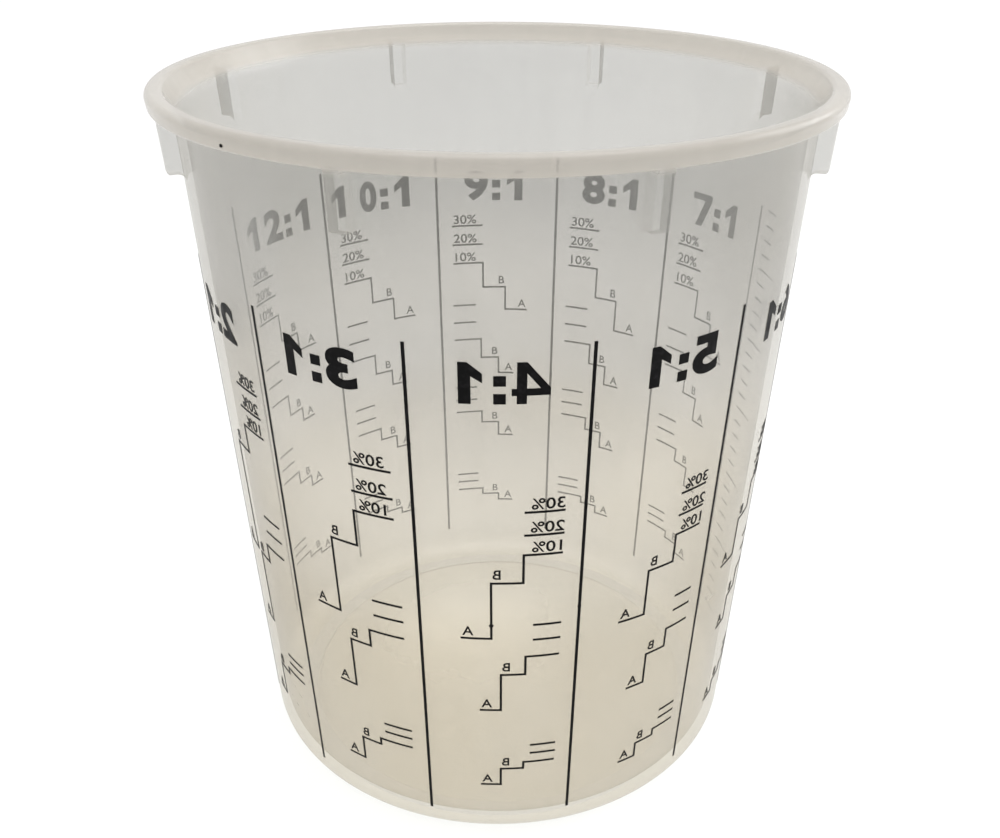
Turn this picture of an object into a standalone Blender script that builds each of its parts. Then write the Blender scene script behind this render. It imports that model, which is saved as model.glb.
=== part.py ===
# Tapered mixing cup in translucent polypropylene, with mixing-ratio scales printed round the outside.
# Metres, +Z up, the cup standing on its foot at the origin; -Y is the side of the 4:1 panel.
import bpy
import bmesh
from math import sin, cos, pi, radians
from mathutils import Vector

MM = 0.001

# body
HEIGHT = 122.3
WALL_R0 = 45.1  # outer wall radius carried down to z = 0
TAPER = 0.0516  # growth of the wall radius per mm of height
WALL = 1.4
FLOOR = 1.2
BASE_ROUND = 4.4
FOOT_RISE = 0.8  # the floor's underside stands this far above the foot ring
FOOT_WIDTH = 3.2
GATE_R = 9.0
GATE_DEPTH = 0.35
RIM_R = 55.0
RIM_LOW = 119.5
ROUND_STEPS = 84

# ribs that stop stacked cups from jamming
RIB_COUNT = 8
RIB_START = 22.5
RIB_WIDTH = 2.6
RIB_LOW = 111.0

# print
INK_GAP = 0.08
INK_THICK = 0.12
DIVIDER_WIDTH = 0.45
STEP_WIDTH = 0.3
PRINT_LOW = 5.6
PRINT_HIGH = 95.9
PANEL_TURN = 30.0

# ratio: centre of its panel, degrees to the right of the front
THREE_SET_PANELS = {2: -60, 3: -30, 4: 0, 5: 30, 6: 60}
FOUR_SET_PANELS = {7: 120, 8: 150, 9: 180, 10: 210, 12: 240}

# each set: height of line A, rise to line B for one part in one, rise on to the 10 % line
THREE_SETS = [(45.2, 43.6, 5.2), (30.0, 30.6, 3.7), (12.7, 15.0, 1.4)]
FOUR_SETS = [(61.6, 46.8, 5.6), (46.2, 34.2, 4.5), (30.4, 29.7, 2.8), (13.0, 14.4, 1.5)]

# each set: where the 10 % line ends, the two risers and where line A ends, degrees from the panel centre
TOP_TREADS = (11.3, 3.6, -2.2, -8.0)
LOWER_TREADS = (11.5, 4.3, -0.4, -4.6)

for old in list(bpy.data.objects):
    bpy.data.objects.remove(old)

cup = bpy.data.collections.new("mixing_cup")
bpy.context.scene.collection.children.link(cup)
helpers = bpy.data.collections.new("helpers")
bpy.context.scene.collection.children.link(helpers)


def material(name, colour, roughness, alpha=1.0, transmission=0.0):
    mat = bpy.data.materials.new(name)
    mat.use_nodes = True
    shader = mat.node_tree.nodes["Principled BSDF"]
    shader.inputs["Base Color"].default_value = (*colour, 1.0)
    shader.inputs["Roughness"].default_value = roughness
    shader.inputs["Alpha"].default_value = alpha
    shader.inputs["Transmission Weight"].default_value = transmission
    return mat


polypropylene = material("polypropylene", (0.80, 0.80, 0.76), 0.35, alpha=0.45, transmission=0.5)
ink = material("black_ink", (0.012, 0.012, 0.013), 0.45)


def wall_radius(z):
    return WALL_R0 + TAPER * z


def arc(centre, radius, start, end, steps):
    """Points of a rounding in the (r, z) section."""
    turn = [radians(start + (end - start) * i / steps) for i in range(steps + 1)]
    return [(centre[0] + radius * cos(t), centre[1] + radius * sin(t)) for t in turn]


def new_object(name, mesh, mat, collection):
    obj = bpy.data.objects.new(name, mesh)
    obj.data.materials.append(mat)
    collection.objects.link(obj)
    return obj


def cup_section():
    """Half of the cup's section, from the middle of the floor over the rim to the middle of the base."""
    top_of_floor = FOOT_RISE + FLOOR
    inner = 4.0
    inside = wall_radius(top_of_floor + inner) - WALL
    section = [(0.0, top_of_floor)]
    section += arc((inside - inner, top_of_floor + inner), inner, -90, 0, 6)
    section.append((wall_radius(116.0) - WALL, 116.0))
    section.append((wall_radius(118.6) - WALL + 0.3, 118.6))
    section += arc((RIM_R - 2.0, HEIGHT - 0.9), 0.9, 170, 90, 3)
    section += arc((RIM_R - 1.1, HEIGHT - 1.1), 1.1, 90, 0, 4)
    section.append((RIM_R - 0.15, RIM_LOW + 0.6))
    section += arc((RIM_R - 0.75, RIM_LOW + 0.6), 0.6, 0, -90, 3)
    section.append((wall_radius(RIM_LOW) + 0.7, RIM_LOW))
    section.append((wall_radius(RIM_LOW) + 0.1, RIM_LOW - 0.6))
    outside = wall_radius(BASE_ROUND)
    section += arc((outside - BASE_ROUND, BASE_ROUND), BASE_ROUND, 0, -90, 7)
    foot_inside = outside - BASE_ROUND - FOOT_WIDTH
    section.append((foot_inside, 0.0))
    section.append((foot_inside - 0.8, FOOT_RISE))
    section.append((GATE_R, FOOT_RISE))
    section.append((GATE_R - 0.5, FOOT_RISE + GATE_DEPTH))
    section.append((0.0, FOOT_RISE + GATE_DEPTH))
    return section


def cup_blank():
    mesh = bpy.data.meshes.new("cup_body")
    points = [(r * MM, 0.0, z * MM) for r, z in cup_section()]
    edges = [(i, i + 1) for i in range(len(points) - 1)]
    mesh.from_pydata(points, edges, [])
    body = new_object("cup_body", mesh, polypropylene, cup)
    turned = body.modifiers.new("turn", "SCREW")
    turned.steps = ROUND_STEPS
    turned.render_steps = ROUND_STEPS
    turned.use_merge_vertices = True
    turned.merge_threshold = 0.00001
    turned.use_smooth_shade = True
    return body


def rib(index):
    """One upright rib under the rim, its lower end square and blended into the wall."""
    low_wall = wall_radius(RIB_LOW)
    blend = 1.2
    side = [(RIM_R - 0.9, RIM_LOW + 0.8), (RIM_R - 1.5, RIB_LOW + 0.3), (RIM_R - 1.8, RIB_LOW)]
    side += [(low_wall + blend - blend * sin(t), RIB_LOW - blend + blend * cos(t))
             for t in (0.0, pi / 6, pi / 3, pi / 2.15)]
    side.append((low_wall - 0.6, RIB_LOW - blend))
    side += [(wall_radius(RIM_LOW) - 0.45, RIM_LOW - 0.9), (wall_radius(RIM_LOW) + 0.7, RIM_LOW + 0.7)]
    shape = bmesh.new()
    faces = []
    for across in (-RIB_WIDTH / 2, RIB_WIDTH / 2):
        ring = [shape.verts.new((r * MM, across * MM, z * MM)) for r, z in side]
        faces.append(ring)
    count = len(side)
    shape.faces.new(faces[0])
    shape.faces.new(reversed(faces[1]))
    for i in range(count):
        j = (i + 1) % count
        shape.faces.new((faces[0][j], faces[0][i], faces[1][i], faces[1][j]))
    bmesh.ops.recalc_face_normals(shape, faces=shape.faces)
    mesh = bpy.data.meshes.new("rib")
    shape.to_mesh(mesh)
    shape.free()
    obj = new_object(f"rib_{index + 1}", mesh, polypropylene, helpers)
    obj.rotation_euler.z = radians(RIB_START + index * 360 / RIB_COUNT)
    obj.hide_render = True
    obj.display_type = "WIRE"
    return obj


def on_wall(turn, z, lift):
    """A point over the printed wall: degrees to the right of the front, height, distance off the wall."""
    r = wall_radius(z) + lift
    return Vector((r * sin(radians(turn)), -r * cos(radians(turn)), z)) * MM


def printed_line(name, corners, width):
    """A line of ink laid on the wall through corners given as (degrees, height)."""
    middle = wall_radius(sum(z for _, z in corners) / len(corners))
    per_degree = radians(1) * middle
    flat = [Vector((turn * per_degree, z)) for turn, z in corners]
    ways = [(b - a).normalized() for a, b in zip(flat, flat[1:])]
    stations = []
    for i, point in enumerate(flat):
        before = ways[max(i - 1, 0)]
        after = ways[min(i, len(ways) - 1)]
        normal_before = Vector((-before.y, before.x))
        normal_after = Vector((-after.y, after.x))
        mitre = (normal_before + normal_after).normalized()
        reach = width / 2 / mitre.dot(normal_before)
        stations.append((point + mitre * reach, point - mitre * reach))
    strip = [stations[0]]
    for (left, right), (next_left, next_right) in zip(stations, stations[1:]):
        parts = max(1, round(abs(next_left.x - left.x) / per_degree / 3))
        for k in range(1, parts + 1):
            share = k / parts
            strip.append((left.lerp(next_left, share), right.lerp(next_right, share)))
    shape = bmesh.new()
    sections = []
    for left, right in strip:
        ring = []
        for side, lift in ((left, INK_GAP), (right, INK_GAP),
                           (right, INK_GAP + INK_THICK), (left, INK_GAP + INK_THICK)):
            ring.append(shape.verts.new(on_wall(side.x / per_degree, side.y, lift)))
        sections.append(ring)
    shape.faces.new(sections[0])
    shape.faces.new(reversed(sections[-1]))
    for one, two in zip(sections, sections[1:]):
        for i in range(4):
            j = (i + 1) % 4
            shape.faces.new((one[j], one[i], two[i], two[j]))
    bmesh.ops.recalc_face_normals(shape, faces=shape.faces)
    mesh = bpy.data.meshes.new(name)
    shape.to_mesh(mesh)
    shape.free()
    return new_object(name, mesh, ink, cup)


def steps_of(ratio, centre, number, levels):
    """The step-shaped line that joins the 10 %, B and A heights of one set."""
    line_a, rise, ten_rise = levels
    line_b = line_a + rise / ratio
    line_ten = line_b + ten_rise
    treads = TOP_TREADS if number == 1 else LOWER_TREADS
    end, upper, lower, start = (centre + t for t in treads)
    corners = [(end, line_ten), (upper, line_ten), (upper, line_b), (lower, line_b), (lower, line_a), (start, line_a)]
    printed_line(f"steps_{ratio}to1_set{number}", corners, STEP_WIDTH)


body = cup_blank()
for index in range(RIB_COUNT):
    joined = body.modifiers.new(f"rib_{index + 1}", "BOOLEAN")
    joined.operation = "UNION"
    joined.solver = "EXACT"
    joined.object = rib(index)

for index in range(12):
    turn = -45 + index * PANEL_TURN
    printed_line(f"divider_{index + 1:02d}", [(turn, PRINT_LOW), (turn, PRINT_HIGH)], DIVIDER_WIDTH)

for panels, sets in ((THREE_SET_PANELS, THREE_SETS), (FOUR_SET_PANELS, FOUR_SETS)):
    for ratio, centre in panels.items():
        for number, levels in enumerate(sets, 1):
            steps_of(ratio, centre, number, levels)
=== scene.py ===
from math import radians, cos, sin, pi
import bpy
import bmesh
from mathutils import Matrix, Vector


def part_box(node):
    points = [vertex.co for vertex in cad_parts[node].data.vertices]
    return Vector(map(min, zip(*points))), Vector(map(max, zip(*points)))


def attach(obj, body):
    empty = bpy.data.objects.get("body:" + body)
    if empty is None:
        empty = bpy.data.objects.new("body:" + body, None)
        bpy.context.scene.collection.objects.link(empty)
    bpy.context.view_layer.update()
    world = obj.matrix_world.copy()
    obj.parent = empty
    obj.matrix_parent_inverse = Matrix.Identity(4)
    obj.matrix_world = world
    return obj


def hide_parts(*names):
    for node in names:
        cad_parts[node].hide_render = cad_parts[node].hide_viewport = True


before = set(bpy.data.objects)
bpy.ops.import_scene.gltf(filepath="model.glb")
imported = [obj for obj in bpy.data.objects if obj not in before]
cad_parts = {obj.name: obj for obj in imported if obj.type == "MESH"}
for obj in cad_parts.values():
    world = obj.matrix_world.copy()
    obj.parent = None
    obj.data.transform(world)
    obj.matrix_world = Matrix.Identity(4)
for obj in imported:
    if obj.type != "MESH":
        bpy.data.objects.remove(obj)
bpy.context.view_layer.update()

print("packed cup loaded")

mm = 0.001
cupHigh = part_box("cup_body")[1]
rimRadius = cupHigh[0] / mm
cupHeight = cupHigh[2] / mm
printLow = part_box("divider_01")[0][2] / mm
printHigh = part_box("divider_01")[1][2] / mm

wall = {
    "radiusAtZero": 45.1,     # outer radius carried down to the bench, mm
    "taper": 0.0516,
    "thickness": 1.4,
}


def wallRadius(z):
    return wall["radiusAtZero"] + wall["taper"] * z


# small node helpers, shared by the shader groups, the materials and the geometry trees
def mathNode(tree, operation, a, b=None, clamp=False):
    node = tree.nodes.new("ShaderNodeMath")
    node.operation = operation
    node.use_clamp = clamp
    for socket, value in zip(node.inputs, (a, b)):
        if value is None:
            continue
        if isinstance(value, (int, float)):
            socket.default_value = value
        else:
            tree.links.new(value, socket)
    return node.outputs[0]


def noiseNode(tree, vector, scale, detail=3.0, roughness=0.5, distortion=0.0):
    node = tree.nodes.new("ShaderNodeTexNoise")
    node.inputs["Detail"].default_value = detail
    node.inputs["Roughness"].default_value = roughness
    node.inputs["Distortion"].default_value = distortion
    if isinstance(scale, (int, float)):
        node.inputs["Scale"].default_value = scale
    else:
        tree.links.new(scale, node.inputs["Scale"])
    tree.links.new(vector, node.inputs["Vector"])
    return node.outputs["Fac"]


def rangeNode(tree, value, low, high, toLow=0.0, toHigh=1.0):
    node = tree.nodes.new("ShaderNodeMapRange")
    node.interpolation_type = "SMOOTHSTEP"
    node.inputs["From Min"].default_value = low
    node.inputs["From Max"].default_value = high
    node.inputs["To Min"].default_value = toLow
    node.inputs["To Max"].default_value = toHigh
    tree.links.new(value, node.inputs["Value"])
    return node.outputs[0]


def mixColour(tree, share, a, b):
    node = tree.nodes.new("ShaderNodeMix")
    node.data_type = "RGBA"
    for index, value in ((0, share), (6, a), (7, b)):
        if isinstance(value, tuple):
            node.inputs[index].default_value = (*value, 1.0)
        else:
            tree.links.new(value, node.inputs[index])
    return node.outputs[2]


def groupTree(name, inputs, outputs):
    tree = bpy.data.node_groups.new(name, "ShaderNodeTree")
    for label, kind, value in inputs:
        socket = tree.interface.new_socket(name=label, in_out="INPUT", socket_type=kind)
        if value is not None:
            socket.default_value = value
    for label in outputs:
        tree.interface.new_socket(name=label, in_out="OUTPUT", socket_type="NodeSocketFloat")
    return tree, tree.nodes.new("NodeGroupInput"), tree.nodes.new("NodeGroupOutput")


flowLook = {"streakSquash": 0.06, "grainScale": 1800.0}


def buildMouldFlow(s):
    # what moulding leaves in the plastic: milky clouds, faint upright flow streaks and a fine grain
    tree, given, out = groupTree(
        "mouldFlow",
        [("Vector", "NodeSocketVector", None), ("Cloud Scale", "NodeSocketFloat", 28.0),
         ("Streak Scale", "NodeSocketFloat", 160.0)],
        ["Cloud", "Streak", "Grain"])
    vector = given.outputs["Vector"]
    cloud = noiseNode(tree, vector, given.outputs["Cloud Scale"], 4.0, 0.55, 0.4)
    squash = tree.nodes.new("ShaderNodeMapping")
    squash.inputs["Scale"].default_value = (1.0, 1.0, s["streakSquash"])
    tree.links.new(vector, squash.inputs["Vector"])
    streak = noiseNode(tree, squash.outputs["Vector"], given.outputs["Streak Scale"], 2.0, 0.6)
    grain = noiseNode(tree, vector, s["grainScale"], 2.0, 0.6)
    tree.links.new(cloud, out.inputs["Cloud"])
    tree.links.new(streak, out.inputs["Streak"])
    tree.links.new(grain, out.inputs["Grain"])
    return tree


handlingLook = {
    "scuffs": ((0.6, 420.0), (-0.9, 300.0)),     # turn and scale of each family of lines
    "scuffStretch": 0.05,
    "scuffFrom": (0.72, 0.77),
    "smudgeScale": 45.0,
    "smudgeFrom": (0.52, 0.75),
    "speckScale": 95.0,
    "speckReach": (0.018, 0.032),
}


def buildHandling(s):
    # wear from stacking and wiping: thin crossing scuffs, soft smudges and stray specks
    tree, given, out = groupTree(
        "handling",
        [("Vector", "NodeSocketVector", None), ("Amount", "NodeSocketFloat", 0.5)],
        ["Scuff", "Smudge", "Speck"])
    vector, amount = given.outputs["Vector"], given.outputs["Amount"]
    lines = []
    for turn, scale in s["scuffs"]:
        turned = tree.nodes.new("ShaderNodeMapping")
        turned.inputs["Rotation"].default_value = (turn, 0.3, turn * 2)
        turned.inputs["Scale"].default_value = (1.0, s["scuffStretch"], 1.0)
        tree.links.new(vector, turned.inputs["Vector"])
        field = noiseNode(tree, turned.outputs["Vector"], scale, 1.0, 0.5, 0.8)
        lines.append(rangeNode(tree, field, *s["scuffFrom"]))
    scuff = mathNode(tree, "MULTIPLY", mathNode(tree, "MAXIMUM", *lines), amount)
    smudge = rangeNode(tree, noiseNode(tree, vector, s["smudgeScale"], 3.0, 0.6, 1.2), *s["smudgeFrom"])
    smudge = mathNode(tree, "MULTIPLY", smudge, amount)
    dots = tree.nodes.new("ShaderNodeTexVoronoi")
    dots.inputs["Scale"].default_value = s["speckScale"]
    tree.links.new(vector, dots.inputs["Vector"])
    speck = rangeNode(tree, dots.outputs["Distance"], *s["speckReach"], 1.0, 0.0)
    speck = mathNode(tree, "MULTIPLY", speck, amount)
    tree.links.new(scuff, out.inputs["Scuff"])
    tree.links.new(smudge, out.inputs["Smudge"])
    tree.links.new(speck, out.inputs["Speck"])
    return tree


mouldFlow = buildMouldFlow(flowLook)
handling = buildHandling(handlingLook)


def placeGroup(tree, group, vector, values):
    node = tree.nodes.new("ShaderNodeGroup")
    node.node_tree = group
    tree.links.new(vector, node.inputs["Vector"])
    for label, value in values.items():
        node.inputs[label].default_value = value
    return node.outputs


milkyPlastic = {
    "neutral": (0.635, 0.627, 0.604),   # milk of the plastic near the mouth
    "warm": (0.690, 0.645, 0.552),      # near the thick base
    "bead": (0.585, 0.557, 0.512),      # in the thick rim bead
    "middle": (0.860, 0.815, 0.720),    # painted glow: lighter, warmer milk in a patch of the floor, standing in for light falling there
    # tint of the light that one face lets straight through
    "clearHigh": (0.788, 0.785, 0.775),
    "clearMiddle": (0.955, 0.945, 0.925),
    "clearLow": (0.918, 0.898, 0.857),
    "clearBead": (0.795, 0.772, 0.733),
    "clearEdge": (0.640, 0.620, 0.575),   # where the wall is seen along its length
    "density": 0.12,          # share of the light that one face of the plain wall turns to milk
    "clouds": 0.05,
    "streaks": 0.025,
    "edge": 0.44,             # extra milk where the wall is seen along its length
    "rim": 0.32,              # extra in the bead
    "base": 0.10,             # near the bench
    "paintedGlowMilk": 0.12,      # and more milk in the painted glow on the floor
    "edgePower": 1.8,
    "mostMilk": 0.96,
    "shade": 0.955,           # light that gets through one face on its way to whatever lies behind
    "roughness": 0.26,
    "ior": 1.49,
    "sheen": 0.5,
    "sheenIor": 1.35,
    "relief": 0.00012,        # metres
    "streakRelief": 0.25,     # shares of the relief
    "grainRelief": 0.04,
    "scuffRelief": 0.05,
    "cloudScale": 26.0,
    "streakScale": 150.0,
    "handled": 0.10,
    # where one tint gives way to the next, mm up the cup
    "warmToNeutral": (26.0, 114.0),
    "lowToMiddle": (38.0, 55.0),
    "middleToHigh": (66.0, 98.0),
    "baseFades": (1.2, 8.0),
    "beadBelowTop": (4.2, 2.6),
    # painted glow on the floor, a pool of light painted into the milk: its middle, and where it starts to fade
    # and ends, mm
    "paintedGlowAt": (-5.0, 10.0),
    "paintedGlowFades": (4.0, 29.0),
}


def makeMilkyPlastic(s):
    mat = bpy.data.materials.new("milkyPolypropylene")
    mat.use_nodes = True
    tree = mat.node_tree
    tree.nodes.clear()
    link = tree.links.new
    coords = tree.nodes.new("ShaderNodeTexCoord").outputs["Object"]
    flow = placeGroup(tree, mouldFlow, coords, {
        "Cloud Scale": s["cloudScale"], "Streak Scale": s["streakScale"]})
    worn = placeGroup(tree, handling, coords, {"Amount": s["handled"]})
    place = tree.nodes.new("ShaderNodeSeparateXYZ")
    link(coords, place.inputs[0])
    height = place.outputs["Z"]

    def upCup(limits, below=0.0, above=1.0):
        low, high = limits
        return rangeNode(tree, height, low * mm, high * mm, below, above)

    upward = upCup(s["warmToNeutral"])
    bead = upCup([cupHeight - down for down in s["beadBelowTop"]])
    # painted glow: a patch of the floor made lighter in colour and density to stand in for light falling there
    fromPaintedGlow = tree.nodes.new("ShaderNodeVectorMath")
    fromPaintedGlow.operation = "DISTANCE"
    link(coords, fromPaintedGlow.inputs[0])
    paintedGlowX, paintedGlowY = s["paintedGlowAt"]
    fromPaintedGlow.inputs[1].default_value = (paintedGlowX * mm, paintedGlowY * mm, 0.0)
    start, end = s["paintedGlowFades"]
    patch = rangeNode(tree, fromPaintedGlow.outputs["Value"], start * mm, end * mm, 1.0, 0.0)
    cloudy = rangeNode(tree, flow["Cloud"], 0.36, 0.64, -0.5, 0.5)

    milk = tree.nodes.new("ShaderNodeBsdfPrincipled")
    tint = mathNode(tree, "ADD", upward, mathNode(tree, "MULTIPLY", cloudy, 0.35), clamp=True)
    colour = mixColour(tree, tint, s["warm"], s["neutral"])
    # the painted glow lightens and warms the milk in that patch of the floor
    colour = mixColour(tree, patch, colour, s["middle"])
    link(mixColour(tree, bead, colour, s["bead"]), milk.inputs["Base Color"])
    milk.inputs["IOR"].default_value = s["ior"]
    scuffed = mathNode(tree, "MULTIPLY", worn["Scuff"], 0.12)
    rough = rangeNode(tree, worn["Smudge"], 0.0, 0.5, s["roughness"], s["roughness"] + 0.12)
    rough = mathNode(tree, "ADD", rough, scuffed)
    link(rough, milk.inputs["Roughness"])
    relief = mathNode(tree, "ADD", flow["Cloud"], mathNode(tree, "MULTIPLY", flow["Streak"], s["streakRelief"]))
    relief = mathNode(tree, "ADD", relief, mathNode(tree, "MULTIPLY", flow["Grain"], s["grainRelief"]))
    relief = mathNode(tree, "SUBTRACT", relief, mathNode(tree, "MULTIPLY", worn["Scuff"], s["scuffRelief"]))
    bump = tree.nodes.new("ShaderNodeBump")
    bump.inputs["Strength"].default_value = 1.0
    bump.inputs["Distance"].default_value = s["relief"]
    link(relief, bump.inputs["Height"])
    link(bump.outputs["Normal"], milk.inputs["Normal"])

    clear = tree.nodes.new("ShaderNodeBsdfTransparent")
    facing = tree.nodes.new("ShaderNodeLayerWeight")
    facing.inputs["Blend"].default_value = 0.3
    grazing = mathNode(tree, "POWER", facing.outputs["Facing"], s["edgePower"])
    passed = mixColour(tree, upCup(s["lowToMiddle"]), s["clearLow"], s["clearMiddle"])
    passed = mixColour(tree, upCup(s["middleToHigh"]), passed, s["clearHigh"])
    passed = mixColour(tree, bead, passed, s["clearBead"])
    link(mixColour(tree, grazing, passed, s["clearEdge"]), clear.inputs["Color"])
    density = mathNode(tree, "MULTIPLY", grazing, s["edge"])
    for amount in (
            s["density"],
            mathNode(tree, "MULTIPLY", bead, s["rim"]),
            # painted glow: more milk in the lit patch of the floor
            mathNode(tree, "MULTIPLY", patch, s["paintedGlowMilk"]),
            upCup(s["baseFades"], s["base"], 0.0),
            mathNode(tree, "MULTIPLY", cloudy, s["clouds"]),
            rangeNode(tree, flow["Streak"], 0.4, 0.7, 0.0, s["streaks"]),
            scuffed,
            mathNode(tree, "MULTIPLY", worn["Speck"], 0.5)):
        density = mathNode(tree, "ADD", density, amount)
    density = mathNode(tree, "MINIMUM", density, s["mostMilk"])
    body = tree.nodes.new("ShaderNodeMixShader")
    link(density, body.inputs["Fac"])
    link(clear.outputs[0], body.inputs[1])
    link(milk.outputs[0], body.inputs[2])

    gloss = tree.nodes.new("ShaderNodeBsdfGlossy")
    link(rough, gloss.inputs["Roughness"])
    link(bump.outputs["Normal"], gloss.inputs["Normal"])
    fresnel = tree.nodes.new("ShaderNodeFresnel")
    fresnel.inputs["IOR"].default_value = s["sheenIor"]
    link(bump.outputs["Normal"], fresnel.inputs["Normal"])
    # only the near face of a wall shines: its far face would mirror everything at a slant
    facet = tree.nodes.new("ShaderNodeNewGeometry")
    near = mathNode(tree, "SUBTRACT", 1.0, facet.outputs["Backfacing"])
    shine = mathNode(tree, "MULTIPLY", mathNode(tree, "MULTIPLY", fresnel.outputs[0], s["sheen"]), near)
    polished = tree.nodes.new("ShaderNodeMixShader")
    link(shine, polished.inputs["Fac"])
    link(body.outputs[0], polished.inputs[1])
    link(gloss.outputs[0], polished.inputs[2])

    # lamps and bounced light pass almost freely, as they do through thin milky plastic
    paths = tree.nodes.new("ShaderNodeLightPath")
    passing = tree.nodes.new("ShaderNodeBsdfTransparent")
    passing.inputs["Color"].default_value = (s["shade"], s["shade"], s["shade"] * 0.99, 1.0)
    surface = polished.outputs[0]
    for ray in ("Is Shadow Ray", "Is Diffuse Ray"):
        choice = tree.nodes.new("ShaderNodeMixShader")
        link(paths.outputs[ray], choice.inputs["Fac"])
        link(surface, choice.inputs[1])
        link(passing.outputs[0], choice.inputs[2])
        surface = choice.outputs[0]
    link(surface, tree.nodes.new("ShaderNodeOutputMaterial").inputs["Surface"])
    return mat


padInk = {
    "black": (0.003, 0.003, 0.003),
    "thin": (0.011, 0.010, 0.011),      # where the pad left less ink
    "roughness": 0.45,
    "specular": 0.07,
    "patchScale": 900.0,
    "relief": 0.00005,
    "handled": 0.8,
}


def makePadInk(s):
    mat = bpy.data.materials.new("padPrintedInk")
    mat.use_nodes = True
    tree = mat.node_tree
    shader = tree.nodes["Principled BSDF"]
    shader.inputs["Specular IOR Level"].default_value = s["specular"]
    coords = tree.nodes.new("ShaderNodeTexCoord").outputs["Object"]
    worn = placeGroup(tree, handling, coords, {"Amount": s["handled"]})
    patch = noiseNode(tree, coords, s["patchScale"], 3.0, 0.6)
    share = mathNode(tree, "ADD", rangeNode(tree, patch, 0.45, 0.8), worn["Scuff"], clamp=True)
    tree.links.new(mixColour(tree, share, s["black"], s["thin"]), shader.inputs["Base Color"])
    uneven = noiseNode(tree, coords, 400.0, 2.0)
    rough = rangeNode(tree, uneven, 0.3, 0.7, s["roughness"] - 0.08, s["roughness"] + 0.1)
    tree.links.new(rough, shader.inputs["Roughness"])
    bump = tree.nodes.new("ShaderNodeBump")
    bump.inputs["Strength"].default_value = 0.25
    bump.inputs["Distance"].default_value = s["relief"]
    tree.links.new(patch, bump.inputs["Height"])
    tree.links.new(bump.outputs["Normal"], shader.inputs["Normal"])
    return mat


polypropylene = makeMilkyPlastic(milkyPlastic)
ink = makePadInk(padInk)
print("milky plastic and pad-print ink mixed")


def nodesTree(name, inputs):
    tree = bpy.data.node_groups.new(name, "GeometryNodeTree")
    tree.interface.new_socket(name="Geometry", in_out="INPUT", socket_type="NodeSocketGeometry")
    for label, kind, value in inputs:
        socket = tree.interface.new_socket(name=label, in_out="INPUT", socket_type=kind)
        if value is not None:
            socket.default_value = value
    tree.interface.new_socket(name="Geometry", in_out="OUTPUT", socket_type="NodeSocketGeometry")
    return tree, tree.nodes.new("NodeGroupInput"), tree.nodes.new("NodeGroupOutput")


def closeTree(tree, geometry, given, out):
    # every tree ends in real geometry with its material on it
    real = tree.nodes.new("GeometryNodeRealizeInstances")
    dressed = tree.nodes.new("GeometryNodeSetMaterial")
    tree.links.new(geometry, real.inputs[0])
    tree.links.new(real.outputs[0], dressed.inputs["Geometry"])
    tree.links.new(given.outputs["Material"], dressed.inputs["Material"])
    tree.links.new(dressed.outputs[0], out.inputs[0])


def runTree(obj, tree, values):
    modifier = obj.modifiers.new(tree.name, "NODES")
    modifier.node_group = tree
    for item in tree.interface.items_tree:
        if item.in_out == "INPUT" and item.name in values:
            modifier[item.identifier] = values[item.name]


def settled(obj, name):
    # the evaluated shape as a plain mesh in an object of its own
    graph = bpy.context.evaluated_depsgraph_get()
    graph.update()
    mesh = bpy.data.meshes.new_from_object(obj.evaluated_get(graph))
    mesh.name = name
    bpy.data.objects.remove(obj)
    return shownObject(name, mesh)


def shownObject(name, mesh):
    made = bpy.data.objects.new(name, mesh)
    bpy.context.scene.collection.objects.link(made)
    return made


def fromMesh(name, verts, faces, material=None):
    mesh = bpy.data.meshes.new(name)
    mesh.from_pydata([tuple(v) for v in verts], [], faces)
    mesh.validate()
    if material:
        mesh.materials.append(material)
    return shownObject(name, mesh)


def faceOutwards(obj):
    work = bmesh.new()
    work.from_mesh(obj.data)
    bmesh.ops.recalc_face_normals(work, faces=work.faces)
    work.to_mesh(obj.data)
    work.free()


def buildRingOf():
    # copies of one shape, each turned further round the cup's axis
    tree, given, out = nodesTree("ringOf", [
        ("Count", "NodeSocketInt", 8), ("First Turn", "NodeSocketFloat", 0.0),
        ("Step Turn", "NodeSocketFloat", 0.0), ("Material", "NodeSocketMaterial", None)])
    points = tree.nodes.new("GeometryNodePoints")
    tree.links.new(given.outputs["Count"], points.inputs["Count"])
    index = tree.nodes.new("GeometryNodeInputIndex")
    turn = mathNode(tree, "MULTIPLY", index.outputs[0], given.outputs["Step Turn"])
    turn = mathNode(tree, "ADD", turn, given.outputs["First Turn"])
    spin = tree.nodes.new("ShaderNodeCombineXYZ")
    tree.links.new(turn, spin.inputs["Z"])
    copies = tree.nodes.new("GeometryNodeInstanceOnPoints")
    tree.links.new(points.outputs[0], copies.inputs["Points"])
    tree.links.new(given.outputs["Geometry"], copies.inputs["Instance"])
    tree.links.new(spin.outputs[0], copies.inputs["Rotation"])
    closeTree(tree, copies.outputs[0], given, out)
    return tree


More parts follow.
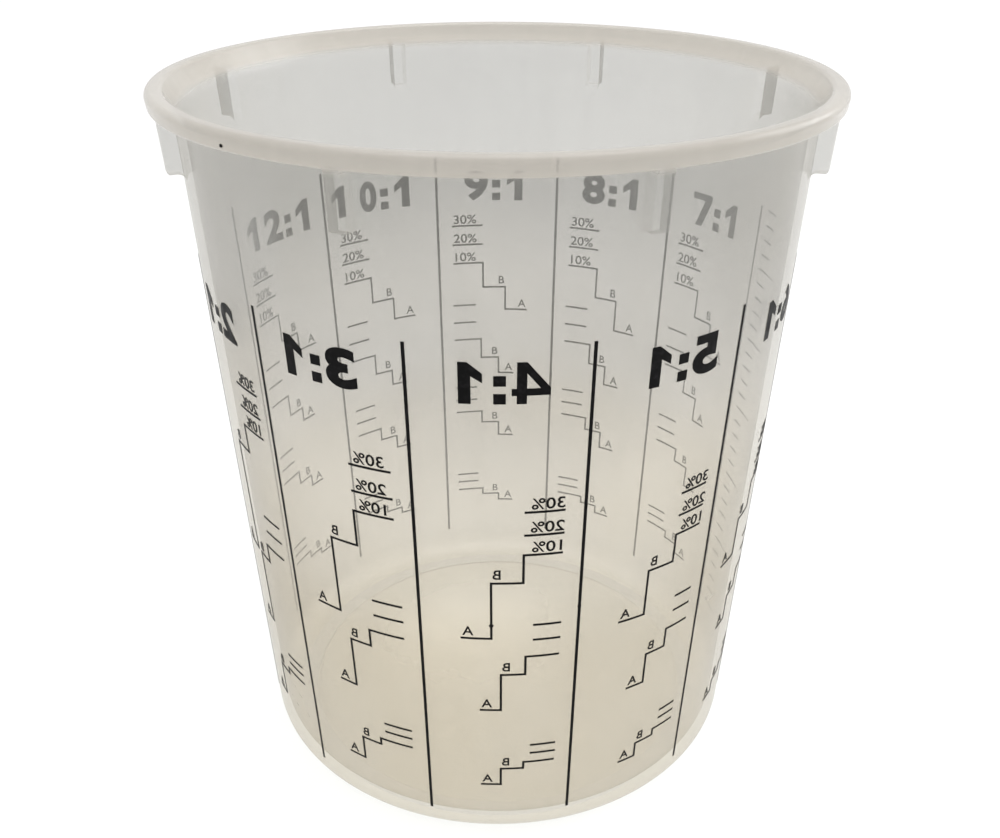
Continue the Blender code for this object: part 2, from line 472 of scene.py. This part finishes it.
def buildWrapPrint():
    # lays a flat print (x in degrees, z in mm) on the tapered wall, as a film with a little thickness
    tree, given, out = nodesTree("wrapPrint", [
        ("Wall Radius", "NodeSocketFloat", 45.0), ("Taper", "NodeSocketFloat", 0.05),
        ("Lift", "NodeSocketFloat", 0.02), ("Film", "NodeSocketFloat", 0.05),
        ("Material", "NodeSocketMaterial", None)])
    where = tree.nodes.new("GeometryNodeInputPosition")
    apart = tree.nodes.new("ShaderNodeSeparateXYZ")
    tree.links.new(where.outputs[0], apart.inputs[0])
    angle = mathNode(tree, "MULTIPLY", apart.outputs["X"], pi / 180)
    high = apart.outputs["Z"]
    radius = mathNode(tree, "MULTIPLY", high, given.outputs["Taper"])
    radius = mathNode(tree, "ADD", radius, given.outputs["Wall Radius"])
    radius = mathNode(tree, "ADD", radius, given.outputs["Lift"])
    film = mathNode(tree, "MULTIPLY", apart.outputs["Y"], given.outputs["Film"])
    radius = mathNode(tree, "ADD", radius, film)
    radius = mathNode(tree, "MULTIPLY", radius, mm)
    side = mathNode(tree, "MULTIPLY", mathNode(tree, "SINE", angle), radius)
    depth = mathNode(tree, "MULTIPLY", mathNode(tree, "COSINE", angle), radius)
    depth = mathNode(tree, "MULTIPLY", depth, -1.0)
    high = mathNode(tree, "MULTIPLY", high, mm)
    place = tree.nodes.new("ShaderNodeCombineXYZ")
    for label, value in (("X", side), ("Y", depth), ("Z", high)):
        tree.links.new(value, place.inputs[label])
    moved = tree.nodes.new("GeometryNodeSetPosition")
    tree.links.new(given.outputs["Geometry"], moved.inputs["Geometry"])
    tree.links.new(place.outputs[0], moved.inputs["Position"])
    closeTree(tree, moved.outputs[0], given, out)
    return tree


def buildScaleTicks():
    # one tick per step of volume: its height follows from the inside of a tapered cup
    tree, given, out = nodesTree("scaleTicks", [
        ("Count", "NodeSocketInt", 30), ("First Volume", "NodeSocketFloat", 50.0),
        ("Volume Step", "NodeSocketFloat", 20.0), ("Inner Radius", "NodeSocketFloat", 43.0),
        ("Taper", "NodeSocketFloat", 0.05), ("Floor", "NodeSocketFloat", 2.0),
        ("Start", "NodeSocketFloat", 101.0), ("Long", "NodeSocketFloat", 7.5),
        ("Short", "NodeSocketFloat", 3.8), ("Width", "NodeSocketFloat", 0.28),
        ("Material", "NodeSocketMaterial", None)])
    values = given.outputs
    points = tree.nodes.new("GeometryNodePoints")
    tree.links.new(values["Count"], points.inputs["Count"])
    index = tree.nodes.new("GeometryNodeInputIndex").outputs[0]
    volume = mathNode(tree, "MULTIPLY", index, values["Volume Step"])
    volume = mathNode(tree, "ADD", volume, values["First Volume"])
    volume = mathNode(tree, "MULTIPLY", volume, 3000.0 / pi)
    volume = mathNode(tree, "MULTIPLY", volume, values["Taper"])
    floorRadius = mathNode(tree, "MULTIPLY", values["Floor"], values["Taper"])
    floorRadius = mathNode(tree, "ADD", floorRadius, values["Inner Radius"])
    cube = mathNode(tree, "POWER", floorRadius, 3.0)
    filled = mathNode(tree, "POWER", mathNode(tree, "ADD", cube, volume), 1.0 / 3.0)
    level = mathNode(tree, "SUBTRACT", filled, values["Inner Radius"])
    level = mathNode(tree, "DIVIDE", level, values["Taper"])
    fifth = mathNode(tree, "COMPARE", mathNode(tree, "MODULO", index, 5.0), 0.0)
    span = mathNode(tree, "SUBTRACT", values["Long"], values["Short"])
    length = mathNode(tree, "ADD", mathNode(tree, "MULTIPLY", span, fifth), values["Short"])
    centre = mathNode(tree, "SUBTRACT", values["Start"], mathNode(tree, "MULTIPLY", length, 0.5))
    place = tree.nodes.new("ShaderNodeCombineXYZ")
    tree.links.new(centre, place.inputs["X"])
    tree.links.new(level, place.inputs["Z"])
    moved = tree.nodes.new("GeometryNodeSetPosition")
    tree.links.new(points.outputs[0], moved.inputs["Geometry"])
    tree.links.new(place.outputs[0], moved.inputs["Position"])
    size = tree.nodes.new("ShaderNodeCombineXYZ")
    tree.links.new(length, size.inputs["X"])
    size.inputs["Y"].default_value = 1.0
    tree.links.new(values["Width"], size.inputs["Z"])
    copies = tree.nodes.new("GeometryNodeInstanceOnPoints")
    tree.links.new(moved.outputs[0], copies.inputs["Points"])
    tree.links.new(values["Geometry"], copies.inputs["Instance"])
    tree.links.new(size.outputs[0], copies.inputs["Scale"])
    closeTree(tree, copies.outputs[0], given, out)
    return tree


ringOf = buildRingOf()
wrapPrint = buildWrapPrint()
scaleTicks = buildScaleTicks()


shell = {
    "steps": 288,
    "floorThickness": 1.2,
    "footRise": 0.8,
    "baseRound": 4.4,
    "innerRound": 4.0,
    "footWidth": 3.2,
    "gateRadius": 9.0,
    "gateDepth": 0.35,
    "flareFrom": 116.0,       # the inside starts to open here
    "rimDepth": 2.8,          # rim bead, from its top to its lower edge
    "ribs": 8,
    "ribStart": 22.5,
    "ribWidth": 2.6,
    "ribLow": 111.0,
    "ribBlend": 1.2,
    "ribBevel": 0.3,
    "smoothUnder": 38,        # degrees
}


def arc(centre, radius, start, end, steps):
    turns = [radians(start + (end - start) * i / steps) for i in range(steps + 1)]
    return [(centre[0] + radius * cos(t), centre[1] + radius * sin(t)) for t in turns]


def between(a, b, steps):
    return [(a[0] + (b[0] - a[0]) * i / steps, a[1] + (b[1] - a[1]) * i / steps) for i in range(1, steps)]


def cupSection(s):
    # from the middle of the floor, up the inside, over the rim and down to the middle of the base
    floorTop = s["footRise"] + s["floorThickness"]
    rimLow = cupHeight - s["rimDepth"]
    inner = s["innerRound"]
    inside = wallRadius(floorTop + inner) - wall["thickness"]
    section = [(6.0, floorTop), (18.0, floorTop), (32.0, floorTop)]
    section += arc((inside - inner, floorTop + inner), inner, -90, 0, 12)
    flare = [(wallRadius(z) - wall["thickness"] + out, z)
             for z, out in ((s["flareFrom"], 0.0), (s["flareFrom"] + 1.4, 0.08), (s["flareFrom"] + 2.6, 0.3))]
    section += between(section[-1], flare[0], 24) + flare
    section += arc((rimRadius - 2.0, cupHeight - 0.9), 0.9, 170, 90, 7)
    section += arc((rimRadius - 1.1, cupHeight - 1.1), 1.1, 90, 0, 9)
    section += arc((rimRadius - 0.75, rimLow + 0.6), 0.6, 0, -90, 6)
    section += [(wallRadius(rimLow) + 0.7, rimLow), (wallRadius(rimLow) + 0.35, rimLow - 0.08)]
    section += [(wallRadius(rimLow) + 0.12, rimLow - 0.28), (wallRadius(rimLow - 0.7), rimLow - 0.7)]
    outside = wallRadius(s["baseRound"])
    low = arc((outside - s["baseRound"], s["baseRound"]), s["baseRound"], 0, -90, 14)
    section += between(section[-1], low[0], 26) + low
    footInside = outside - s["baseRound"] - s["footWidth"]
    section += [(footInside, 0.0), (footInside - 0.25, 0.1), (footInside - 0.8, s["footRise"])]
    section += between((footInside - 0.8, s["footRise"]), (s["gateRadius"], s["footRise"]), 4)
    gateTop = s["footRise"] + s["gateDepth"]
    section += [(s["gateRadius"], s["footRise"]), (s["gateRadius"] - 0.5, gateTop)]
    section += [(1.6, gateTop), (1.2, gateTop + 0.15)]
    return section


def turnedCup(s):
    section = cupSection(s)
    steps = s["steps"]
    verts = []
    for r, z in section:
        for k in range(steps):
            t = 2 * pi * k / steps
            verts.append((r * cos(t) * mm, r * sin(t) * mm, z * mm))
    faces = []
    for i in range(len(section) - 1):
        for k in range(steps):
            j = (k + 1) % steps
            faces.append((i * steps + k, i * steps + j, (i + 1) * steps + j, (i + 1) * steps + k))
    floorPole, basePole = len(verts), len(verts) + 1
    verts += [(0, 0, section[0][1] * mm), (0, 0, section[-1][1] * mm)]
    last = (len(section) - 1) * steps
    for k in range(steps):
        j = (k + 1) % steps
        faces += [(floorPole, j, k), (basePole, last + k, last + j)]
    body = fromMesh("cupShell", verts, faces, polypropylene)
    faceOutwards(body)
    return body


def antiJamRib(s):
    # upright rib under the bead, with a square lower end blended into the wall
    rimLow = cupHeight - s["rimDepth"]
    low = s["ribLow"]
    lowWall = wallRadius(low)
    blend = s["ribBlend"]
    side = [(rimRadius - 0.9, rimLow + 0.8), (rimRadius - 1.5, low + 0.3), (rimRadius - 1.8, low)]
    side += [(lowWall + blend - blend * sin(t), low - blend + blend * cos(t))
             for t in (0.0, pi / 10, pi / 5, pi / 3.3, pi / 2.5, pi / 2.12)]
    side += [(lowWall - 0.6, low - blend), (wallRadius(rimLow) - 0.45, rimLow - 0.9)]
    side += [(wallRadius(rimLow) + 0.7, rimLow + 0.7)]
    half = s["ribWidth"] / 2
    count = len(side)
    verts = [(r * mm, -half * mm, z * mm) for r, z in side] + [(r * mm, half * mm, z * mm) for r, z in side]
    faces = [tuple(range(count)), tuple(range(2 * count - 1, count - 1, -1))]
    faces += [((i + 1) % count, i, count + i, count + (i + 1) % count) for i in range(count)]
    rib = fromMesh("oneRib", verts, faces)
    faceOutwards(rib)
    softened = rib.modifiers.new("soften", "BEVEL")
    softened.width = s["ribBevel"] * mm
    softened.segments = 3
    softened.limit_method = "ANGLE"
    softened.angle_limit = radians(50)
    return rib


cup = turnedCup(shell)
ribs = antiJamRib(shell)
runTree(ribs, ringOf, {"Count": shell["ribs"], "First Turn": radians(shell["ribStart"]),
                       "Step Turn": 2 * pi / shell["ribs"], "Material": polypropylene})
ribs = settled(ribs, "ribRing")
joined = cup.modifiers.new("ribs", "BOOLEAN")
joined.operation = "UNION"
joined.solver = "EXACT"
joined.object = ribs
cup = settled(cup, "cupShell")
bpy.data.objects.remove(ribs)
cup.data.shade_smooth()
cup.data.set_sharp_from_angle(angle=radians(shell["smoothUnder"]))
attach(cup, "root")
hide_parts("cup_body")
print("cup turned and ribs joined:", len(cup.data.polygons), "faces")


film = {
    "lift": 0.03,             # ink film over the wall, mm
    "thickness": 0.05,
    "cut": 1.25,              # the film is cut this finely, in degrees, to follow the wall
}


def filmFrom(work, name):
    # flat faces with y = 0 become a thin closed film between y = 0 and y = 1
    low = min(v.co.x for v in work.verts)
    high = max(v.co.x for v in work.verts)
    at = (low // film["cut"] + 1) * film["cut"]
    while at < high:
        geometry = list(work.verts) + list(work.edges) + list(work.faces)
        bmesh.ops.bisect_plane(work, geom=geometry, plane_co=(at, 0, 0), plane_no=(1, 0, 0), dist=1e-6)
        at += film["cut"]
    for face in work.faces:
        if face.normal.y > 0:
            face.normal_flip()
    raised = bmesh.ops.extrude_face_region(work, geom=list(work.faces), use_keep_orig=True)
    for element in raised["geom"]:
        if isinstance(element, bmesh.types.BMVert):
            element.co.y = 1.0
    bmesh.ops.recalc_face_normals(work, faces=work.faces)
    mesh = bpy.data.meshes.new(name)
    work.to_mesh(mesh)
    work.free()
    return shownObject(name, mesh)


def flatPrint(name, outlines):
    # outlines are closed rings of (degrees, mm)
    work = bmesh.new()
    for ring in outlines:
        work.faces.new([work.verts.new((x, 0.0, z)) for x, z in ring])
    return filmFrom(work, name)


def gathered(objects, name):
    work = bmesh.new()
    for obj in objects:
        work.from_mesh(obj.data)
        bpy.data.objects.remove(obj)
    mesh = bpy.data.meshes.new(name)
    work.to_mesh(mesh)
    work.free()
    return shownObject(name, mesh)


wrapValues = {"Wall Radius": wall["radiusAtZero"], "Taper": wall["taper"],
              "Lift": film["lift"], "Film": film["thickness"], "Material": ink}


def finishPrint(piece, nodes=()):
    faceOutwards(piece)
    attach(piece, "root")
    if nodes:
        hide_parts(*nodes)
    print(piece.name, "printed:", len(piece.data.polygons), "faces")


def printOnWall(flat, name, nodes=()):
    runTree(flat, wrapPrint, wrapValues)
    finishPrint(settled(flat, name), nodes)


dividers = {"count": 12, "first": -45.0, "width": 0.50}

halfLine = dividers["width"] / 2 / (radians(1) * wallRadius((printLow + printHigh) / 2))
lineOutline = [(-halfLine, printLow), (halfLine, printLow), (halfLine, printHigh), (-halfLine, printHigh)]
oneDivider = flatPrint("oneDivider", [lineOutline])
runTree(oneDivider, wrapPrint, wrapValues)
runTree(oneDivider, ringOf, {"Count": dividers["count"], "First Turn": radians(dividers["first"]),
                             "Step Turn": 2 * pi / dividers["count"], "Material": ink})
dividerNodes = [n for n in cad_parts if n.startswith("divider_")]
finishPrint(settled(oneDivider, "dividerLines"), dividerNodes)

# Sets: ratio and the turn of its panel. Heights: line A, rise to line B for one part in one, and rise on
# to the 10 % line. Bars: how far the 20 % and 30 % lines stand above the 10 % line.
panels = {
    "threeSets": {2: -60, 3: -30, 4: 0, 5: 30, 6: 60},
    "threeHeights": [(45.2, 43.6, 5.2), (30.0, 30.6, 3.7), (12.7, 15.0, 1.4)],
    "threeBars": [(3.6, 7.7), (3.4, 6.4), (2.05, 3.9)],
    "fourSets": {7: 120, 8: 150, 9: 180, 10: 210, 12: 240},
    "fourHeights": [(61.6, 46.8, 5.6), (46.2, 34.2, 4.5), (30.4, 29.7, 2.8), (13.0, 14.4, 1.5)],
    "fourBars": [(4.2, 8.4), (4.1, 8.2), (3.1, 6.2), (2.1, 4.1)],
    # turns of the steps off the panel's centre, from the upper end to the lower
    "topTreads": (11.3, 3.6, -2.2, -8.0),
    "lowerTreads": (11.5, 4.3, -0.4, -4.6),
    # how far the artwork sits off: whole panels in degrees, single lines in mm, labels in degrees
    "slips": {3: -0.3, 4: 0.7, 5: 1.4, 6: 1.0},
    "lineSlips": {(3, 1): (0, 0, 1.3), (3, 2): (-0.2, -0.35, -0.7), (8, 1): (-2.2, -1.3, -0.4)},
    "barSlips": {(3, 1): (0, 0.6)},
    "labelSlips": {3: -0.6},
    "inkSpots": [(-1.5, 47.8, 0.38), (15.0, 50.4, 0.33)],     # degrees, mm, radius of spilt ink
    "lineWidth": 0.38,
    "barInset": 1.3,          # the bars of the lower sets start this far in, degrees
    "labelHeight": 1.95,
    "labelWide": 1.14,
    "labelAside": 0.6,
    "labelOver": 0.45,
    "letterHeight": 1.75,
    "weight": 0.012,
}


def ribbon(corners, width):
    # a line of even width along corners, with mitred turns
    middle = wallRadius(sum(z for _, z in corners) / len(corners))
    perDegree = radians(1) * middle
    flat = [Vector((turn * perDegree, z)) for turn, z in corners]
    ways = [(b - a).normalized() for a, b in zip(flat, flat[1:])]
    left, right = [], []
    for i, point in enumerate(flat):
        before, after = ways[max(i - 1, 0)], ways[min(i, len(ways) - 1)]
        across = Vector((-before.y, before.x))
        mitre = (across + Vector((-after.y, after.x))).normalized()
        reach = width / 2 / mitre.dot(across)
        left.append(point + mitre * reach)
        right.append(point - mitre * reach)
    quads = []
    for i in range(len(flat) - 1):
        ring = (left[i], left[i + 1], right[i + 1], right[i])
        quads.append([(p.x / perDegree, p.y) for p in ring])
    return quads


def glyphFaces(text, weight):
    # (vertices, faces) of set type, one unit tall, standing at x = 0
    curve = bpy.data.curves.new("type", "FONT")
    curve.body = text
    curve.offset = weight
    curve.resolution_u = 6
    obj = bpy.data.objects.new("type", curve)
    bpy.context.scene.collection.objects.link(obj)
    graph = bpy.context.evaluated_depsgraph_get()
    graph.update()
    mesh = bpy.data.meshes.new_from_object(obj.evaluated_get(graph))
    bpy.data.objects.remove(obj)
    low = min(v.co.y for v in mesh.vertices)
    tall = max(v.co.y for v in mesh.vertices) - low
    left = min(v.co.x for v in mesh.vertices)
    verts = [((v.co.x - left) / tall, (v.co.y - low) / tall) for v in mesh.vertices]
    return verts, [tuple(p.vertices) for p in mesh.polygons]


def labelFilm(verts, faces, centre, low, height):
    # set mirrored, because the scale is read from inside the cup
    work = bmesh.new()
    perDegree = radians(1) * wallRadius(low + height / 2)
    middle = (min(x for x, _ in verts) + max(x for x, _ in verts)) / 2
    points = [work.verts.new((centre - (x - middle) * height / perDegree, 0.0, low + y * height))
              for x, y in verts]
    for face in faces:
        work.faces.new([points[i] for i in face])
    bmesh.ops.remove_doubles(work, verts=work.verts, dist=1e-4)
    return filmFrom(work, "label")


def smallLabel(text, centre, low, height, wide=1.0):
    verts, faces = glyphFaces(text, panels["weight"])
    return labelFilm([(x * wide, y) for x, y in verts], faces, centre, low, height)


numerals = {
    "low": 87.1,
    "height": 6.4,
    "weight": 0.042,          # at 0.044 the outline of the six no longer fills
    "digitWidth": 0.79,       # of the height
    "zeroWidth": 0.60,
    "colonAt": 0.93,
    "oneAt": 1.43,
    "colon": (0.27, 0.25, 0.43),     # width, side of a dot, foot of the upper dot
    # ratio: turn off the panel's centre, change of height
    "places": {2: (0.0, 0), 3: (-0.5, 0), 4: (0.8, 0), 5: (2.1, 0), 6: (2.0, 0),
               7: (1.2, 0), 8: (1.4, -0.4), 9: (0.8, -0.8), 10: (2.3, -1.0), 12: (0.0, -1.6)},
}

# the straight-sided characters, drawn one unit tall
straightOne = [(0.25, 0), (0.52, 0), (0.52, 1), (0.32, 1), (0.0, 0.73), (0.0, 0.51), (0.25, 0.67)]
straightFour = [[(0.51, 0), (0.73, 0), (0.73, 1), (0.51, 1)],
                [(0.0, 0.2), (0.51, 0.2), (0.51, 0.37), (0.0, 0.37)],
                [(0.73, 0.2), (0.84, 0.2), (0.84, 0.37), (0.73, 0.37)],
                [(0.0, 0.37), (0.215, 0.37), (0.51, 0.735), (0.51, 1.0)]]
straightSeven = [[(0.0, 0.80), (0.78, 0.80), (0.78, 1), (0.0, 1)],
                 [(0.17, 0), (0.43, 0), (0.78, 0.80), (0.50, 0.80)]]


def numeralShape(ratio, s):
    verts, faces = [], []

    def add(rings, shift):
        for ring in rings:
            faces.append(tuple(range(len(verts), len(verts) + len(ring))))
            verts.extend((x + shift, y) for x, y in ring)

    start = 0.0
    for digit in str(ratio):
        if digit == "1":
            add([straightOne], start + 0.05)
        elif digit == "4":
            add(straightFour, start - 0.03)
        elif digit == "7":
            add(straightSeven, start)
        else:
            points, polygons = glyphFaces(digit, s["weight"])
            inset = s["digitWidth"] - s["zeroWidth"] if digit == "0" else 0.0
            wide = (s["digitWidth"] - inset) / max(x for x, _ in points)
            faces += [tuple(i + len(verts) for i in polygon) for polygon in polygons]
            verts += [(x * wide + start + inset, y) for x, y in points]
        start += s["colonAt"]
    start -= s["colonAt"]
    wide, dot, upper = s["colon"]
    left = start + s["colonAt"]
    for foot in (0.0, upper):
        add([[(left, foot), (left + wide, foot), (left + wide, foot + dot), (left, foot + dot)]], 0.0)
    add([straightOne], start + s["oneAt"])
    return verts, faces


stepLines, thinnerBars, labels, bigNumerals = [], [], [], []
for setsName in ("three", "four"):
    for ratio, centre in panels[setsName + "Sets"].items():
        verts, faces = numeralShape(ratio, numerals)
        aside, higher = numerals["places"][ratio]
        bigNumerals.append(labelFilm(
            verts, faces, centre + aside, numerals["low"] + higher, numerals["height"]))
        slip = panels["slips"].get(ratio, 0.0)
        for number, (lineA, rise, tenRise) in enumerate(panels[setsName + "Heights"], 1):
            lineB = lineA + rise / ratio
            lineTen = lineB + tenRise
            lineA, lineB, lineTen = (z + dz for z, dz in zip(
                (lineA, lineB, lineTen), panels["lineSlips"].get((ratio, number), (0, 0, 0))))
            treads = panels["topTreads" if number == 1 else "lowerTreads"]
            end = centre + treads[0]
            upper, lower, start = (centre + turn + slip for turn in treads[1:])
            stepLines += ribbon([(end, lineTen), (upper, lineTen), (upper, lineB),
                                 (lower, lineB), (lower, lineA), (start, lineA)], panels["lineWidth"])
            barSlip = panels["barSlips"].get((ratio, number), (0, 0))
            bars = [up + more for up, more in zip(panels[setsName + "Bars"][number - 1], barSlip)]
            barStart = upper if number == 1 else upper + panels["barInset"]
            for up in bars:
                bar = [(end + 0.1, lineTen + up), (barStart, lineTen + up)]
                thinnerBars += ribbon(bar, panels["lineWidth"])
            if number == 1:
                for text, up in zip(("10%", "20%", "30%"), (0, *bars)):
                    low = lineTen + up + panels["labelOver"]
                    at = (end + upper) / 2 + panels["labelAside"] + panels["labelSlips"].get(ratio, 0.0)
                    labels.append(smallLabel(text, at, low, panels["labelHeight"], panels["labelWide"]))
            labels.append(smallLabel("A", start + 1.4, lineA + 0.6, panels["letterHeight"]))
            labels.append(smallLabel("B", lower + 1.0, lineB + 0.75, panels["letterHeight"]))

for turn, z, radius in panels["inkSpots"]:
    perDegree = radians(1) * wallRadius(z)
    around = [2 * pi * k / 10 for k in range(10)]
    thinnerBars.append([(turn + radius * (1 + 0.15 * sin(3 * t)) * cos(t) / perDegree,
                         z + radius * (1 + 0.2 * cos(2 * t)) * sin(t)) for t in around])

stepNodes = [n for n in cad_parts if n.startswith("steps_")]
printOnWall(flatPrint("stepLines", stepLines), "stepLines", stepNodes)
printOnWall(flatPrint("thinnerBars", thinnerBars), "thinnerBars")
printOnWall(gathered(labels, "stepLabels"), "stepLabels")
printOnWall(gathered(bigNumerals, "ratioNumerals"), "ratioNumerals")

volumeScale = {
    "Count": 30, "First Volume": 50.0, "Volume Step": 20.0, "Start": 101.8,
    "Long": 7.6, "Short": 3.6, "Width": 0.34,
}
unitTick = flatPrint("unitTick", [[(-0.5, -0.5), (0.5, -0.5), (0.5, 0.5), (-0.5, 0.5)]])
runTree(unitTick, scaleTicks, {
    **volumeScale, "Inner Radius": wall["radiusAtZero"] - wall["thickness"], "Taper": wall["taper"],
    "Floor": shell["footRise"] + shell["floorThickness"], "Material": ink})
printOnWall(unitTick, "volumeScale")


rimSpeck = {"turn": -40.4, "z": 120.4, "size": 0.24}


def grimeSpeck(s):
    # a crumb of grime stuck on the outer face of the bead
    work = bmesh.new()
    bmesh.ops.create_icosphere(work, subdivisions=2, radius=1.0)
    t = radians(s["turn"])
    outward = Vector((sin(t), -cos(t), 0.0))
    along = Vector((cos(t), sin(t), 0.0))
    for vert in work.verts:
        x, y, z = vert.co
        uneven = 1.0 + 0.22 * sin(4 * x + 1) * cos(5 * z)
        place = outward * (rimRadius - 0.03 + 0.5 * s["size"] * y * uneven)
        place += along * (1.3 * s["size"] * x * uneven)
        place.z = s["z"] + s["size"] * z * uneven
        vert.co = place * mm
    mesh = bpy.data.meshes.new("rimSpeck")
    work.to_mesh(mesh)
    work.free()
    mesh.materials.append(ink)
    mesh.shade_smooth()
    finishPrint(shownObject("rimSpeck", mesh))


grimeSpeck(rimSpeck)


studio = {
    "floorReach": 6.0,
    "floor": (0.80, 0.80, 0.795),
    "world": 0.9,
    "overhead": 1.3,
    "overheadSpread": 50.0,   # degrees
    "overheadFrom": (0.05, 0.25, 1.5),
    "side": 1.6,
    "sideSize": 0.45,
    "sideFrom": (0.65, 0.25, 0.45),
}
# metres and degrees, the lens in mm
cameraSet = {
    "lens": 39.82,
    "distance": 0.2075,
    "elevation": 27.61,
    "aimHeight": 0.0589,
    "aside": 0.0004,
    "turn": -0.36,
}

reach = studio["floorReach"]
floorCorners = [(-reach, -reach, 0), (reach, -reach, 0), (reach, reach, 0), (-reach, reach, 0)]
floor = fromMesh("studioFloor", floorCorners, [(0, 1, 2, 3)])
paper = bpy.data.materials.new("paperFloor")
paper.use_nodes = True
paperShader = paper.node_tree.nodes["Principled BSDF"]
paperShader.inputs["Base Color"].default_value = (*studio["floor"], 1.0)
paperShader.inputs["Roughness"].default_value = 0.9
paperShader.inputs["Specular IOR Level"].default_value = 0.1
floor.data.materials.append(paper)

world = bpy.data.worlds.new("studioWorld")
world.use_nodes = True
sky = world.node_tree.nodes["Background"]
sky.inputs["Color"].default_value = (1.0, 1.0, 1.0, 1.0)
sky.inputs["Strength"].default_value = studio["world"]
bpy.context.scene.world = world


def aimed(name, light, place, target):
    obj = bpy.data.objects.new(name, light)
    obj.location = place
    obj.rotation_euler = (Vector(target) - Vector(place)).to_track_quat("-Z", "Y").to_euler()
    bpy.context.scene.collection.objects.link(obj)


overhead = bpy.data.lights.new("overheadLight", "SUN")
overhead.energy = studio["overhead"]
overhead.angle = radians(studio["overheadSpread"])
aimed("overheadLight", overhead, studio["overheadFrom"], (0, 0, 0))
side = bpy.data.lights.new("sideLight", "AREA")
side.size = studio["sideSize"]
side.energy = studio["side"]
aimed("sideLight", side, studio["sideFrom"], (0, 0, 0.06))

turn = radians(cameraSet["turn"])
lift = radians(cameraSet["elevation"])
back = cameraSet["distance"] * cos(lift)
camera = bpy.data.cameras.new("camera")
camera.lens = cameraSet["lens"]
camera.sensor_width = 36.0
camera.clip_start = 0.01
viewer = bpy.data.objects.new("camera", camera)
viewer.location = (cameraSet["aside"] * cos(turn) + back * sin(turn),
                   cameraSet["aside"] * sin(turn) - back * cos(turn),
                   cameraSet["aimHeight"] + cameraSet["distance"] * sin(lift))
viewer.rotation_euler = (pi / 2 - lift, 0.0, turn)
bpy.context.scene.collection.objects.link(viewer)
bpy.context.scene.camera = viewer
bpy.context.scene.view_settings.view_transform = "Standard"

print("floor, light and camera set")
